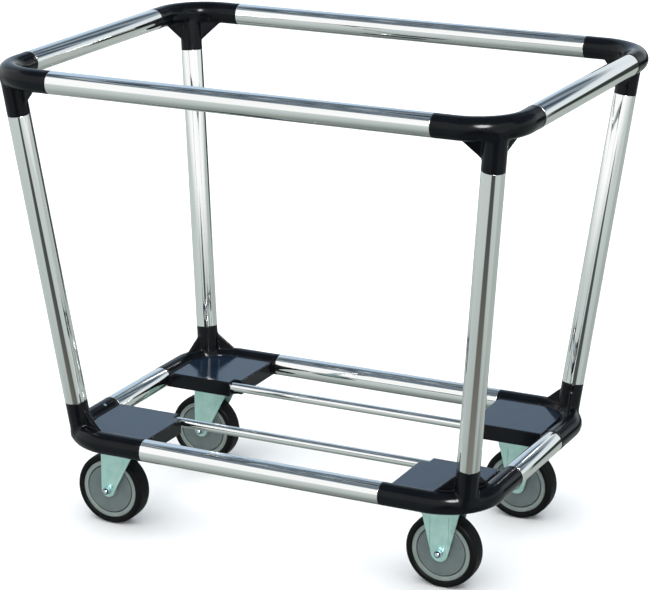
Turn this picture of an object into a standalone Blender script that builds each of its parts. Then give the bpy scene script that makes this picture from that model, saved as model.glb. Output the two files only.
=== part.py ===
"""Linen trolley: a tapered tube frame on two swivelling and two fixed casters.

Metres, +Z up. The origin is on the floor under the middle of the frame. X runs along the
long side and Y across it, with the front at -Y. The swivel casters are at the -X end.
"""
import math

import bmesh
import bpy
from mathutils import Matrix, Vector

GAP = 0.0003                 # clearance between pieces that touch
MERGE = 0.00001              # distance under which loose vertices are welded

# Frame: two rounded rectangles of tube, joined by four splayed legs
TUBE_RADIUS = 0.019
TUBE_WALL = 0.0012
BEND_RADIUS = 0.083          # centreline radius of every corner fitting
TOP = {"half_x": 0.450, "half_y": 0.322, "z": 0.810,
       "arm": 0.115, "socket": 0.068, "rise": 0.066, "run": 0.077}
BASE = {"half_x": 0.380, "half_y": 0.2485, "z": 0.1763,
        "arm": 0.160, "socket": 0.0627, "rise": 0.066, "run": 0.075}
SPIGOT_RADIUS = 0.0173
SPIGOT_LENGTH = 0.035        # reach of a fitting's spigot inside its tube
SOCKET_RADIUS = 0.0188
WEB_THICKNESS = 0.005
SIDES = {"front": (0, -1), "back": (0, 1), "left": (-1, 0), "right": (1, 0)}
CORNERS = {"front_left": (-1, -1), "front_right": (1, -1), "back_left": (-1, 1), "back_right": (1, 1)}

# Corner platforms, which carry the casters and the rods of the base
PLATFORM_TOP = 0.187
PLATFORM_BOTTOM = 0.160
PLATFORM_PLATE = 0.008
PLATFORM_EDGE_X = 0.226
PLATFORM_EDGE_Y = 0.0915
NOTCH_X = 0.241              # the inner corner of the platform is stepped back to here
NOTCH_Y = 0.111
APRON = 0.004
POCKET_X = 0.355
POCKET_Y = 0.224
ROD_RADIUS = 0.008
ROD_Y = 0.1015
ROD_Z = 0.1765
ROD_END = 0.256              # half length of a rod
ROD_BOSS = 0.020

# Casters
CASTER_X = 0.295
CASTER_Y = 0.1665
CASTER_PLATE = (0.105, 0.080)
PLATE_HOLES = (0.080, 0.060)
PLATE_HOLE_RADIUS = 0.0045
SHEET = 0.0028               # thickness of the pressed plates and forks
TRAIL = 0.036                # how far a swivel caster's axle lies behind its king pin
AXLE_Z = 0.0635
CHEEK_INNER = 0.019
CHEEK_OUTER = CHEEK_INNER + SHEET
FORK_BEND = 0.006
SWIVEL_BOSS = 0.012          # radius of a fork round its axle
FIXED_BOSS = 0.015
SWIVEL_CROWN_TOP = 0.1497
CROWN_RADIUS = 0.029
KING_PIN_RADIUS = 0.006
KING_PIN_HEAD = (0.009, 0.005)
RACE_RADIUS = 0.026
FORK_EDGE = 0.127            # height at which the forks' sloping edges are set out
SWIVEL_EDGE_X = 0.010        # the swivel fork's leading edge there, ahead of its king pin
FIXED_EDGE_X = 0.0318        # half width of the fixed fork there

# Wheel and axle
WHEEL_RADIUS = 0.0635
TYRE_HALF = 0.017
TYRE_SHOULDER = 0.006
RIM_RADIUS = 0.0519
RIM_INNER = 0.0439
RIM_HALF = 0.0145
HUB_RADIUS = 0.0139
HUB_HALF = 0.0175
WEB_HALF = 0.004
DISC_THICKNESS = 0.003
AXLE_RADIUS = 0.004
BORE_CLEARANCE = 0.0003
SLEEVE_RADIUS = 0.006
HEX_RADIUS = 0.0075
HEAD_HEIGHT = 0.0053
NUT_HEIGHT = 0.008
BOLT_TIP = 0.0015

# Facets
SWEEP_RESOLUTION = 6         # gives 16 sides
ARC_STEPS = 6
TUBE_STEPS = 16
WHEEL_STEPS = 24
SMALL_STEPS = 12
SHOULDER_STEPS = 3


def start_clean():
    """Remove the open scene's objects and make the two collections."""
    for obj in list(bpy.data.objects):
        bpy.data.objects.remove(obj)
    made = []
    for name in ("linen_trolley", "cutters"):
        collection = bpy.data.collections.new(name)
        bpy.context.scene.collection.children.link(collection)
        made.append(collection)
    return made


def plain_material(name, colour, metallic, roughness):
    material = bpy.data.materials.new(name)
    material.use_nodes = True
    shader = material.node_tree.nodes["Principled BSDF"]
    shader.inputs["Base Color"].default_value = (*colour, 1)
    shader.inputs["Metallic"].default_value = metallic
    shader.inputs["Roughness"].default_value = roughness
    return material


# ---- shapes ---------------------------------------------------------------------------

def rough(data):
    """A working object, out of sight among the cutters."""
    obj = bpy.data.objects.new("rough", data)
    CUTTERS.objects.link(obj)
    obj.hide_render = True
    obj.display_type = "WIRE"
    return obj


def finished_mesh(obj):
    """The object's evaluated shape as a welded mesh in world space; the object is removed."""
    bpy.context.view_layer.update()
    graph = bpy.context.evaluated_depsgraph_get()
    mesh = bpy.data.meshes.new_from_object(obj.evaluated_get(graph))
    mesh.transform(obj.matrix_world)
    shell = bmesh.new()
    shell.from_mesh(mesh)
    bmesh.ops.remove_doubles(shell, verts=shell.verts, dist=MERGE)
    bmesh.ops.recalc_face_normals(shell, faces=shell.faces)
    shell.to_mesh(mesh)
    shell.free()
    bpy.data.objects.remove(obj)
    return mesh


def curve_data(points, dimensions, cyclic):
    curve = bpy.data.curves.new("rough", "CURVE")
    curve.dimensions = dimensions
    spline = curve.splines.new("POLY")
    spline.points.add(len(points) - 1)
    spline.use_cyclic_u = cyclic
    for point, place in zip(spline.points, points):
        point.co = (*Vector(place).to_3d(), 1)
    return curve


def sweep(points, radius):
    """A round bar along the points."""
    curve = curve_data(points, "3D", False)
    curve.bevel_depth = radius
    curve.bevel_resolution = SWEEP_RESOLUTION
    curve.use_fill_caps = True
    return rough(finished_mesh(rough(curve)))


def slab(outline, thickness, place=None):
    """A flat outline given thickness evenly to both sides of its plane, then placed."""
    curve = curve_data(outline, "2D", True)
    curve.fill_mode = "BOTH"
    curve.extrude = thickness / 2
    obj = rough(curve)
    obj.matrix_world = place or Matrix.Identity(4)
    return rough(finished_mesh(obj))


def block(low, high):
    """A box between two corners."""
    low, high = Vector(low), Vector(high)
    mesh = bpy.data.meshes.new("block")
    cube = bmesh.new()
    bmesh.ops.create_cube(cube, size=1)
    bmesh.ops.scale(cube, vec=high - low, verts=cube.verts)
    bmesh.ops.translate(cube, vec=(low + high) / 2, verts=cube.verts)
    cube.to_mesh(mesh)
    cube.free()
    return rough(mesh)


def prism(start, end, radius, segments):
    """A round or hexagonal bar between two points."""
    start, end = Vector(start), Vector(end)
    mesh = bpy.data.meshes.new("prism")
    bar = bmesh.new()
    bmesh.ops.create_cone(bar, cap_ends=True, segments=segments, radius1=radius, radius2=radius,
                          depth=(end - start).length)
    turn = (end - start).to_track_quat("Z", "Y").to_matrix().to_4x4()
    bmesh.ops.transform(bar, matrix=Matrix.Translation((start + end) / 2) @ turn, verts=bar.verts)
    bar.to_mesh(mesh)
    bar.free()
    return rough(mesh)


def combine(base, changes):
    """Apply (operation, tool) pairs to the base in turn and return the finished mesh."""
    for operation, tool in changes:
        boolean = base.modifiers.new(operation.title(), "BOOLEAN")
        boolean.operation = operation
        boolean.object = tool
        boolean.solver = "EXACT"
    mesh = finished_mesh(base)
    for _, tool in changes:
        bpy.data.objects.remove(tool)
    return mesh


def mirrored(mesh, sign_x, sign_y):
    """A copy of the mesh in another corner, with its faces still pointing out."""
    copy = mesh.copy()
    copy.transform(Matrix.Diagonal((sign_x, sign_y, 1, 1)))
    if sign_x * sign_y < 0:
        copy.flip_normals()
    return copy


# ---- nodes ----------------------------------------------------------------------------

def place_node(name, data, material, location=(0, 0, 0), parent=None):
    obj = bpy.data.objects.new(name, data)
    PARTS.objects.link(obj)
    data.materials.clear()
    data.materials.append(material)
    obj.location = location
    obj.parent = parent
    return obj


def mesh_node(name, mesh, material, location=(0, 0, 0), parent=None):
    """A node from a finished mesh, smooth except at its edges."""
    mesh.shade_smooth()
    mesh.set_sharp_from_angle(angle=math.radians(35))
    return place_node(name, mesh, material, location, parent)


def turned_node(name, profile, steps, material, location=(0, 0, 0), along=(0, 0, 1), parent=None):
    """A closed (radius, height) profile turned about its own axis.

    A profile runs down its outer side and back up its bore, or down from the axis to the
    axis where the piece is solid.
    """
    mesh = bpy.data.meshes.new(name)
    last = len(profile) - 1
    edges = [(i, i + 1) for i in range(last)]
    if profile[0][0] > 0:
        edges.append((last, 0))
    mesh.from_pydata([(radius, 0, height) for radius, height in profile], edges, [])
    obj = place_node(name, mesh, material, location, parent)
    obj.rotation_euler = Vector(along).to_track_quat("Z", "Y").to_euler()
    screw = obj.modifiers.new("Turn", "SCREW")
    screw.steps = screw.render_steps = steps
    screw.use_merge_vertices = True
    screw.merge_threshold = MERGE
    return obj


def empty(name, location, parent=None):
    obj = bpy.data.objects.new(name, None)
    PARTS.objects.link(obj)
    obj.location = location
    obj.parent = parent
    return obj


def ring(inner, outer, low, high):
    return [(outer, high), (outer, low), (inner, low), (inner, high)]


# ---- frame ----------------------------------------------------------------------------

def bend_point(loop, angle):
    """A point of the corner's centreline in the +X +Y quarter, by angle from +X."""
    return Vector((loop["half_x"] - BEND_RADIUS + BEND_RADIUS * math.cos(angle),
                   loop["half_y"] - BEND_RADIUS + BEND_RADIUS * math.sin(angle), loop["z"]))


def leg_ends():
    """Where a leg's axis meets the two loops' centrelines, top first."""
    return [bend_point(loop, math.pi / 4) for loop in (TOP, BASE)]


def arm_point(loop, distance, swap):
    """A point on the centreline, a distance round the bend from its middle."""
    bend = BEND_RADIUS * math.pi / 4
    past = max(distance - bend, 0)
    turn = min(distance, bend) / BEND_RADIUS * (-1 if swap else 1)
    along = Vector((0, -past, 0)) if swap else Vector((-past, 0, 0))
    return bend_point(loop, math.pi / 4 + turn) + along


def tube(name, start, end):
    """A tube from seam to seam, open at both ends."""
    half = (end - start).length / 2 - GAP
    turned_node(name, ring(TUBE_RADIUS - TUBE_WALL, TUBE_RADIUS, -half, half), TUBE_STEPS, CHROME,
                (start + end) / 2, end - start)


def rails(level, loop):
    for side, (sign_x, sign_y) in SIDES.items():
        half = Vector((0 if sign_x else loop["half_x"] - loop["arm"],
                       0 if sign_y else loop["half_y"] - loop["arm"], 0))
        middle = Vector((sign_x * loop["half_x"], sign_y * loop["half_y"], loop["z"]))
        tube(f"{level}_rail_{side}", middle - half, middle + half)


def legs():
    top, foot = leg_ends()
    along = (foot - top).normalized()
    start, end = top + along * TOP["socket"], foot - along * BASE["socket"]
    for corner, (sign_x, sign_y) in CORNERS.items():
        flip = Matrix.Diagonal((sign_x, sign_y, 1))
        tube(f"leg_{corner}", flip @ start, flip @ end)


def web(loop, root, along, swap):
    """The triangular web between the leg socket and one arm."""
    reach = arm_point(loop, loop["run"], swap) - root
    across = reach.normalized()
    normal = across.cross(along).normalized()
    frame = Matrix((across, normal.cross(across), normal)).transposed().to_4x4()
    tip = frame.inverted() @ (along * loop["rise"])
    outline = [(0, 0), (reach.length, 0), (tip.x, tip.y)]
    return slab(outline, WEB_THICKNESS, Matrix.Translation(root) @ frame)


def elbow(loop, along):
    """The bend, its two arms and their spigots, the leg socket and the webs, for +X +Y."""
    root = bend_point(loop, math.pi / 4)
    arms = [Vector((loop["half_x"] - loop["arm"], loop["half_y"], loop["z"])),
            Vector((loop["half_x"], loop["half_y"] - loop["arm"], loop["z"]))]
    inward = [Vector((-1, 0, 0)), Vector((0, -1, 0))]
    bend = [bend_point(loop, math.pi / 2 * (1 - step / ARC_STEPS)) for step in range(ARC_STEPS + 1)]
    base = sweep([arms[0], *bend, arms[1]], TUBE_RADIUS)
    seam = root + along * loop["socket"]
    added = [sweep([root, seam], SOCKET_RADIUS), sweep([root, seam + along * SPIGOT_LENGTH], SPIGOT_RADIUS)]
    for arm, way in zip(arms, inward):
        added.append(sweep([arm - way * SPIGOT_RADIUS, arm + way * SPIGOT_LENGTH], SPIGOT_RADIUS))
    for swap in (False, True):
        added.append(web(loop, root, along, swap))
    return base, [("UNION", tool) for tool in added]


def platform_changes():
    """The platform cast into each lower corner, with its pocket, caster pad and rod socket."""
    bend = [bend_point(BASE, math.pi / 2 * step / ARC_STEPS).to_2d() for step in range(ARC_STEPS + 1)]
    outline = [(PLATFORM_EDGE_X, NOTCH_Y), (NOTCH_X, NOTCH_Y), (NOTCH_X, PLATFORM_EDGE_Y),
               (BASE["half_x"], PLATFORM_EDGE_Y), *bend, (PLATFORM_EDGE_X, BASE["half_y"])]
    pocket = [(PLATFORM_EDGE_X + APRON, NOTCH_Y + APRON), (NOTCH_X + APRON, NOTCH_Y + APRON),
              (NOTCH_X + APRON, PLATFORM_EDGE_Y + APRON), (POCKET_X, PLATFORM_EDGE_Y + APRON),
              (POCKET_X, POCKET_Y), (PLATFORM_EDGE_X + APRON, POCKET_Y)]
    depth = PLATFORM_TOP - PLATFORM_BOTTOM
    plate_z = PLATFORM_TOP - PLATFORM_PLATE
    pad_x, pad_y = (size / 2 for size in CASTER_PLATE)
    body = slab(outline, depth, Matrix.Translation((0, 0, PLATFORM_TOP - depth / 2)))
    # the pocket's slab is centred on the bottom face, so half of it cuts
    hollow = slab(pocket, 2 * (depth - PLATFORM_PLATE), Matrix.Translation((0, 0, PLATFORM_BOTTOM)))
    pad = block((CASTER_X - pad_x, CASTER_Y - pad_y, PLATFORM_BOTTOM),
                (CASTER_X + pad_x, CASTER_Y + pad_y, plate_z + APRON))
    boss = block((NOTCH_X + GAP, PLATFORM_EDGE_Y + GAP, PLATFORM_BOTTOM + GAP),
                 (NOTCH_X + ROD_BOSS, NOTCH_Y + APRON / 2, plate_z + APRON))
    bore = prism((PLATFORM_EDGE_X, ROD_Y, ROD_Z), (ROD_END + GAP, ROD_Y, ROD_Z),
                 ROD_RADIUS + GAP, TUBE_STEPS)
    shaped = rough(combine(body, [("DIFFERENCE", hollow), ("UNION", pad), ("UNION", boss)]))
    return [("UNION", shaped), ("DIFFERENCE", bore)]


def corner_fittings():
    top, foot = leg_ends()
    down = (foot - top).normalized()
    upper = combine(*elbow(TOP, down))
    base, changes = elbow(BASE, -down)
    lower = combine(base, changes + platform_changes())
    for corner, (sign_x, sign_y) in CORNERS.items():
        mesh_node(f"upper_corner_{corner}", mirrored(upper, sign_x, sign_y), BLACK)
        mesh_node(f"lower_corner_{corner}", mirrored(lower, sign_x, sign_y), BLACK)


def base_rods():
    half = ROD_END - GAP
    for side, sign in (("front", -1), ("back", 1)):
        turned_node(f"base_rod_{side}", [(0, half), (ROD_RADIUS, half), (ROD_RADIUS, -half), (0, -half)],
                    TUBE_STEPS, CHROME, (0, sign * ROD_Y, ROD_Z), (1, 0, 0))


# ---- casters --------------------------------------------------------------------------

def tangent_angle(point, centre, radius, side):
    """The angle on a circle at which the line from an outside point touches it."""
    offset = Vector(point) - Vector(centre)
    return math.atan2(offset.y, offset.x) + side * math.acos(radius / offset.length)


def cheek_outline(axle_x, boss, left, right, top):
    """Side outline of a fork: a round boss at the axle, and two edges up to the top.

    left and right are points on the two edges, which run on straight above them.
    """
    centre = Vector((axle_x, AXLE_Z))
    ends = []
    for point, side in ((left, 1), (right, -1)):
        angle = tangent_angle(point, centre, boss, side)
        touch = centre + boss * Vector((math.cos(angle), math.sin(angle)))
        edge = Vector(point) - touch
        ends.append((angle, touch + edge * (top - touch.y) / edge.y))
    (start, top_left), (stop, top_right) = ends
    turn = (stop - start) % (2 * math.pi)
    arc = [centre + boss * Vector((math.cos(start + turn * step / ARC_STEPS),
                                   math.sin(start + turn * step / ARC_STEPS)))
           for step in range(ARC_STEPS + 1)]
    return [top_left, *arc, top_right]


def channel_outline(top):
    """Front outline of a fork: a sheet bent down on both sides of the wheel."""
    sheet = []
    for half, height, radius in ((CHEEK_OUTER, top, FORK_BEND),
                                 (CHEEK_INNER, top - SHEET, FORK_BEND - SHEET)):
        bend = [(half - radius + radius * math.sin(turn), height - radius + radius * math.cos(turn))
                for turn in (math.pi / 2 * step / SHOULDER_STEPS for step in range(SHOULDER_STEPS + 1))]
        rising = [(half, 0), *reversed(bend)]
        across = rising + [(-y, z) for y, z in reversed(rising)]
        sheet.append(across)
    return sheet[0] + sheet[1][::-1]


def fork_mesh(outline, top, extra):
    """A bent sheet trimmed to its side outline; origin at the caster's centre on the floor."""
    length = 4 * WHEEL_RADIUS
    along_x = Matrix(((0, 0, 1, 0), (1, 0, 0, 0), (0, 1, 0, 0), (0, 0, 0, 1)))
    along_y = Matrix(((1, 0, 0, 0), (0, 0, -1, 0), (0, 1, 0, 0), (0, 0, 0, 1)))
    channel = slab(channel_outline(top), length, along_x)
    trim = slab(outline, length, along_y)
    return combine(channel, [("INTERSECT", trim), *extra])


def across_bore(x, radius):
    reach = 2 * CHEEK_OUTER
    return ("DIFFERENCE", prism((x, -reach, AXLE_Z), (x, reach, AXLE_Z), radius, SMALL_STEPS))


def upright_bore(x, y, z, radius):
    return ("DIFFERENCE", prism((x, y, z - 2 * SHEET), (x, y, z + 2 * SHEET), radius, SMALL_STEPS))


def plate_bores(z):
    half_x, half_y = (spacing / 2 for spacing in PLATE_HOLES)
    return [upright_bore(sign_x * half_x, sign_y * half_y, z, PLATE_HOLE_RADIUS)
            for sign_x, sign_y in CORNERS.values()]


def top_plate(z):
    half_x, half_y = (size / 2 for size in CASTER_PLATE)
    return block((-half_x, -half_y, z - SHEET), (half_x, half_y, z))


def tyre_profile():
    """Rounded shoulders on both sides of a flat tread."""
    centre = (WHEEL_RADIUS - TYRE_SHOULDER, TYRE_HALF - TYRE_SHOULDER)
    shoulder = [(centre[0] + TYRE_SHOULDER * math.sin(turn), centre[1] + TYRE_SHOULDER * math.cos(turn))
                for turn in (math.pi / 2 * step / SHOULDER_STEPS for step in range(SHOULDER_STEPS + 1))]
    seat = (RIM_RADIUS + GAP, TYRE_HALF)
    upper = [seat, *shoulder]
    return upper + [(radius, -height) for radius, height in reversed(upper)]


def core_profile():
    """Rim, web and hub of a wheel, bored for the sleeve."""
    upper = [(SLEEVE_RADIUS + BORE_CLEARANCE, HUB_HALF), (HUB_RADIUS, HUB_HALF), (HUB_RADIUS, WEB_HALF),
             (RIM_INNER, WEB_HALF), (RIM_INNER, RIM_HALF), (RIM_RADIUS, RIM_HALF)]
    return upper[::-1][:1] + [(radius, -height) for radius, height in upper[::-1]] + upper[:-1]


def wheel(corner, axis):
    """Core, tyre and the two cover discs, turning together on the sleeve."""
    across = (0, 1, 0)
    turned_node(f"wheel_core_{corner}", core_profile(), WHEEL_STEPS, GREY, along=across, parent=axis)
    turned_node(f"tyre_{corner}", tyre_profile(), WHEEL_STEPS, TYRE, along=across, parent=axis)
    cover = ring(HUB_RADIUS + GAP, RIM_INNER - GAP, RIM_HALF - DISC_THICKNESS, RIM_HALF)
    for face, way in (("front", -1), ("rear", 1)):
        turned_node(f"{face}_disc_{corner}", cover, WHEEL_STEPS, DISC, along=(0, way, 0), parent=axis)


def axle(corner, centre, parent):
    """Bolt, nut and sleeve; the nut is on the front side."""
    x, y = centre
    face = CHEEK_OUTER + GAP
    tip = face + NUT_HEIGHT + BOLT_TIP
    shank = prism((x, y - tip, AXLE_Z), (x, y + face + HEAD_HEIGHT / 2, AXLE_Z), AXLE_RADIUS, SMALL_STEPS)
    head = prism((x, y + face, AXLE_Z), (x, y + face + HEAD_HEIGHT, AXLE_Z), HEX_RADIUS, 6)
    nut = prism((x, y - face - NUT_HEIGHT, AXLE_Z), (x, y - face, AXLE_Z), HEX_RADIUS, 6)
    bore = prism((x, y - 2 * tip, AXLE_Z), (x, y, AXLE_Z), AXLE_RADIUS + BORE_CLEARANCE, SMALL_STEPS)
    mesh_node(f"axle_bolt_{corner}", combine(shank, [("UNION", head)]), ZINC, parent=parent)
    mesh_node(f"axle_nut_{corner}", combine(nut, [("DIFFERENCE", bore)]), ZINC, parent=parent)
    turned_node(f"axle_sleeve_{corner}", ring(AXLE_RADIUS + BORE_CLEARANCE, SLEEVE_RADIUS,
                                              GAP - CHEEK_INNER, CHEEK_INNER - GAP),
                SMALL_STEPS, ZINC, (x, y, AXLE_Z), (0, 1, 0), parent)


def swivel_caster(corner, sign_y):
    """A pressed plate, ball race and king pin on the frame; the fork turns about the pin."""
    x, y = -CASTER_X, sign_y * CASTER_Y
    plate_top = PLATFORM_BOTTOM - GAP
    plate_bottom = plate_top - SHEET
    crown_bottom = SWIVEL_CROWN_TOP - SHEET
    pin_bore = KING_PIN_RADIUS + BORE_CLEARANCE
    plate = combine(top_plate(plate_top),
                    [*plate_bores(plate_top), upright_bore(0, 0, plate_top, pin_bore)])
    mesh_node(f"swivel_plate_{corner}", plate, ZINC, (x, y, 0))
    turned_node(f"swivel_race_{corner}",
                ring(pin_bore, RACE_RADIUS, SWIVEL_CROWN_TOP + GAP, plate_bottom - GAP),
                TUBE_STEPS, ZINC, (x, y, 0))
    head_radius, head_height = KING_PIN_HEAD
    head_top = crown_bottom - GAP
    turned_node(f"king_pin_{corner}",
                [(0, plate_top - GAP), (KING_PIN_RADIUS, plate_top - GAP), (KING_PIN_RADIUS, head_top),
                 (head_radius, head_top), (head_radius, head_top - head_height),
                 (0, head_top - head_height)],
                SMALL_STEPS, ZINC, (x, y, 0))

    swivel = empty(f"swivel_axis_{corner}", (x, y, 0))
    outline = cheek_outline(-TRAIL, SWIVEL_BOSS, (-TRAIL - SWIVEL_BOSS, FORK_EDGE),
                            (SWIVEL_EDGE_X, FORK_EDGE), plate_top)
    crown = prism((0, 0, crown_bottom), (0, 0, SWIVEL_CROWN_TOP), CROWN_RADIUS, 2 * SMALL_STEPS)
    fork = fork_mesh(outline, SWIVEL_CROWN_TOP,
                     [("UNION", crown), upright_bore(0, 0, crown_bottom, pin_bore),
                      across_bore(-TRAIL, AXLE_RADIUS + BORE_CLEARANCE)])
    mesh_node(f"swivel_fork_{corner}", fork, ZINC, parent=swivel)
    axle(corner, (-TRAIL, 0), swivel)
    wheel(corner, empty(f"wheel_axis_{corner}", (-TRAIL, 0, AXLE_Z), swivel))


def fixed_caster(corner, sign_y):
    """A plate and fork pressed from one sheet, bolted straight to the frame."""
    x, y = CASTER_X, sign_y * CASTER_Y
    plate_top = PLATFORM_BOTTOM - GAP
    mount = empty(f"fixed_mount_{corner}", (x, y, 0))
    outline = cheek_outline(0, FIXED_BOSS, (-FIXED_EDGE_X, FORK_EDGE),
                            (FIXED_EDGE_X, FORK_EDGE), plate_top + GAP)
    fork = fork_mesh(outline, plate_top,
                     [("UNION", top_plate(plate_top)), *plate_bores(plate_top),
                      across_bore(0, AXLE_RADIUS + BORE_CLEARANCE)])
    mesh_node(f"fixed_fork_{corner}", fork, ZINC, parent=mount)
    axle(corner, (0, 0), mount)
    wheel(corner, empty(f"wheel_axis_{corner}", (0, 0, AXLE_Z), mount))


PARTS, CUTTERS = start_clean()
CHROME = plain_material("polished_tube", (0.78, 0.79, 0.80), 1.0, 0.12)
BLACK = plain_material("black_moulding", (0.012, 0.013, 0.018), 0.0, 0.22)
ZINC = plain_material("zinc_plate", (0.56, 0.66, 0.64), 0.7, 0.35)
GREY = plain_material("grey_rim", (0.30, 0.33, 0.33), 0.0, 0.40)
DISC = plain_material("grey_disc", (0.13, 0.16, 0.16), 0.0, 0.40)
TYRE = plain_material("black_tyre", (0.015, 0.015, 0.017), 0.0, 0.50)

rails("top", TOP)
rails("base", BASE)
legs()
corner_fittings()
base_rods()
for row, sign in (("front", -1), ("back", 1)):
    swivel_caster(f"{row}_left", sign)
    fixed_caster(f"{row}_right", sign)
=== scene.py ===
"""Looks of the linen trolley: fine tubes, moulded corner fittings, pressed forks and wheels.

Metres, +Z up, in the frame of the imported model. Every piece takes its place and its main
sizes from the frame; what follows are the sizes of the finer detail.
"""
import math

import bmesh
import bpy
import numpy as np
from mathutils import Matrix, Vector


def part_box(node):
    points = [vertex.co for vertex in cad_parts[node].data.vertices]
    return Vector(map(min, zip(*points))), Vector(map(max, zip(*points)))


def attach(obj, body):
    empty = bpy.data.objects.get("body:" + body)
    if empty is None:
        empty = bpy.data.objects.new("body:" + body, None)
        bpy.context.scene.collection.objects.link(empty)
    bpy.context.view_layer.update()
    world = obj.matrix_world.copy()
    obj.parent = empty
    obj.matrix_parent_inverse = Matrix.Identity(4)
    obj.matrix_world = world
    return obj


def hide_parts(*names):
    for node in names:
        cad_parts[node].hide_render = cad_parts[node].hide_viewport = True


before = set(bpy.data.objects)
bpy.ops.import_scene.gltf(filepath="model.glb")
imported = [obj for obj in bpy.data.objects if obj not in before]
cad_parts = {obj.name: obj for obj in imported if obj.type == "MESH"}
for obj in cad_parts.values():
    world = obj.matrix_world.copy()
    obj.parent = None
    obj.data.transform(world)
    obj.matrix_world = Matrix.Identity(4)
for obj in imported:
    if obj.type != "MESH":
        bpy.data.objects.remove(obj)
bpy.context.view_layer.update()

MM = 0.001

# ---- sizes read from the frame ----------------------------------------------------------


def middle(node):
    low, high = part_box(node)
    return (Vector(low) + Vector(high)) / 2


def extent(node):
    low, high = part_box(node)
    return Vector(high) - Vector(low)


TUBE_RADIUS = extent("top_rail_front").z / 2
BEND_RADIUS = 83 * MM
CORNERS = {"front_left": (-1, -1), "front_right": (1, -1), "back_left": (-1, 1), "back_right": (1, 1)}


def loop_sizes(level, socket, rise, run):
    """Half sizes, height, seams and web sizes of one of the two loops of tube."""
    side, end = middle(f"{level}_rail_right"), middle(f"{level}_rail_back")
    return {"half": Vector((side.x, end.y)), "z": end.z, "socket": socket, "rise": rise, "run": run,
            "seam": Vector((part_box(f"{level}_rail_back")[1][0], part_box(f"{level}_rail_right")[1][1]))}


TOP = loop_sizes("top", 68 * MM, 66 * MM, 77 * MM)
BASE = loop_sizes("base", 62.7 * MM, 66 * MM, 75 * MM)
WHEEL_RADIUS = extent("tyre_front_right").z / 2
TYRE_HALF = extent("tyre_front_right").y / 2
CASTER = middle("fixed_fork_front_right")
CASTER_X, CASTER_Y = CASTER.x, -CASTER.y
TRAIL = -CASTER_X - middle("tyre_front_left").x
AXLE_Z = WHEEL_RADIUS
PLATE_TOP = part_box("fixed_fork_front_right")[1][2]
CROWN_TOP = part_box("swivel_fork_front_left")[1][2]


# ---- materials --------------------------------------------------------------------------

def graph(name):
    """A new material, its node tree and its Principled shader."""
    material = bpy.data.materials.new(name)
    material.use_nodes = True
    tree = material.node_tree
    return material, tree, tree.nodes["Principled BSDF"]


def noise_factor(tree, scale, detail, stretch=(1, 1, 1), low=0.0, high=1.0):
    """Noise in the piece's own coordinates, remapped between two values."""
    coordinates = tree.nodes.new("ShaderNodeTexCoord")
    mapping = tree.nodes.new("ShaderNodeMapping")
    mapping.inputs["Scale"].default_value = stretch
    noise = tree.nodes.new("ShaderNodeTexNoise")
    noise.inputs["Scale"].default_value = scale
    noise.inputs["Detail"].default_value = detail
    remap = tree.nodes.new("ShaderNodeMapRange")
    remap.inputs["From Min"].default_value = 0.3
    remap.inputs["From Max"].default_value = 0.7
    remap.inputs["To Min"].default_value = low
    remap.inputs["To Max"].default_value = high
    tree.links.new(coordinates.outputs["Object"], mapping.inputs["Vector"])
    tree.links.new(mapping.outputs["Vector"], noise.inputs["Vector"])
    tree.links.new(noise.outputs["Fac"], remap.inputs["Value"])
    return remap.outputs["Result"]


def blend_colours(tree, factor, first, second):
    mix = tree.nodes.new("ShaderNodeMix")
    mix.data_type = "RGBA"
    tree.links.new(factor, mix.inputs["Factor"])
    mix.inputs["A"].default_value = (*first, 1)
    mix.inputs["B"].default_value = (*second, 1)
    return mix.outputs["Result"]


def bump(tree, shader, height, strength, distance):
    node = tree.nodes.new("ShaderNodeBump")
    node.inputs["Strength"].default_value = strength
    node.inputs["Distance"].default_value = distance
    tree.links.new(height, node.inputs["Height"])
    tree.links.new(node.outputs["Normal"], shader.inputs["Normal"])


def surface(name, colours, roughness, metallic=0.0, colour_noise=(30, 4, (1, 1, 1)),
            finish_noise=(60, 5, (1, 1, 1)), grain=None, specular=0.5):
    """A finish: two colours and two roughnesses mixed by noise, and a fine bump."""
    material, tree, shader = graph(name)
    shader.inputs["Metallic"].default_value = metallic
    shader.inputs["Specular IOR Level"].default_value = specular
    scale, detail, stretch = colour_noise
    tree.links.new(blend_colours(tree, noise_factor(tree, scale, detail, stretch), *colours),
                   shader.inputs["Base Color"])
    scale, detail, stretch = finish_noise
    tree.links.new(noise_factor(tree, scale, detail, stretch, *roughness), shader.inputs["Roughness"])
    if grain:
        scale, stretch, strength, distance = grain
        bump(tree, shader, noise_factor(tree, scale, 3, stretch), strength, distance)
    return material


# polishing lines run along the tube, which lies on its piece's own Z
POLISHED = surface("polished_steel", ((0.86, 0.87, 0.86), (0.78, 0.80, 0.79)), (0.03, 0.085), 1.0,
                   (6, 3, (14, 14, 0.5)), (60, 4, (6, 6, 0.08)), (90, (5, 5, 0.05), 0.07, 0.0002))
MOULDED = surface("black_moulding", ((0.0018, 0.0024, 0.0036), (0.0034, 0.0042, 0.0060)), (0.13, 0.20),
                  colour_noise=(18, 3, (1, 1, 1)), grain=(240, (1, 1, 1), 0.05, 0.0002), specular=0.17)
# the platform top's satin gloss is real; its colour, lighter and bluer than the black moulding, is a painted
# slate sheen
PLATFORM = surface("satin_platform_painted_sheen", ((0.006, 0.013, 0.026), (0.010, 0.019, 0.034)), (0.09, 0.14),
                   colour_noise=(40, 5, (1, 1, 1)), grain=(900, (1, 1, 1), 0.08, 0.0002), specular=0.5)
ZINC = surface("zinc_plate", ((0.34, 0.58, 0.53), (0.47, 0.69, 0.63)), (0.28, 0.44), 0.6,
               (70, 5, (1, 1, 1)), (140, 4, (1, 1, 1)), (500, (1, 1, 1), 0.08, 0.0002))
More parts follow.
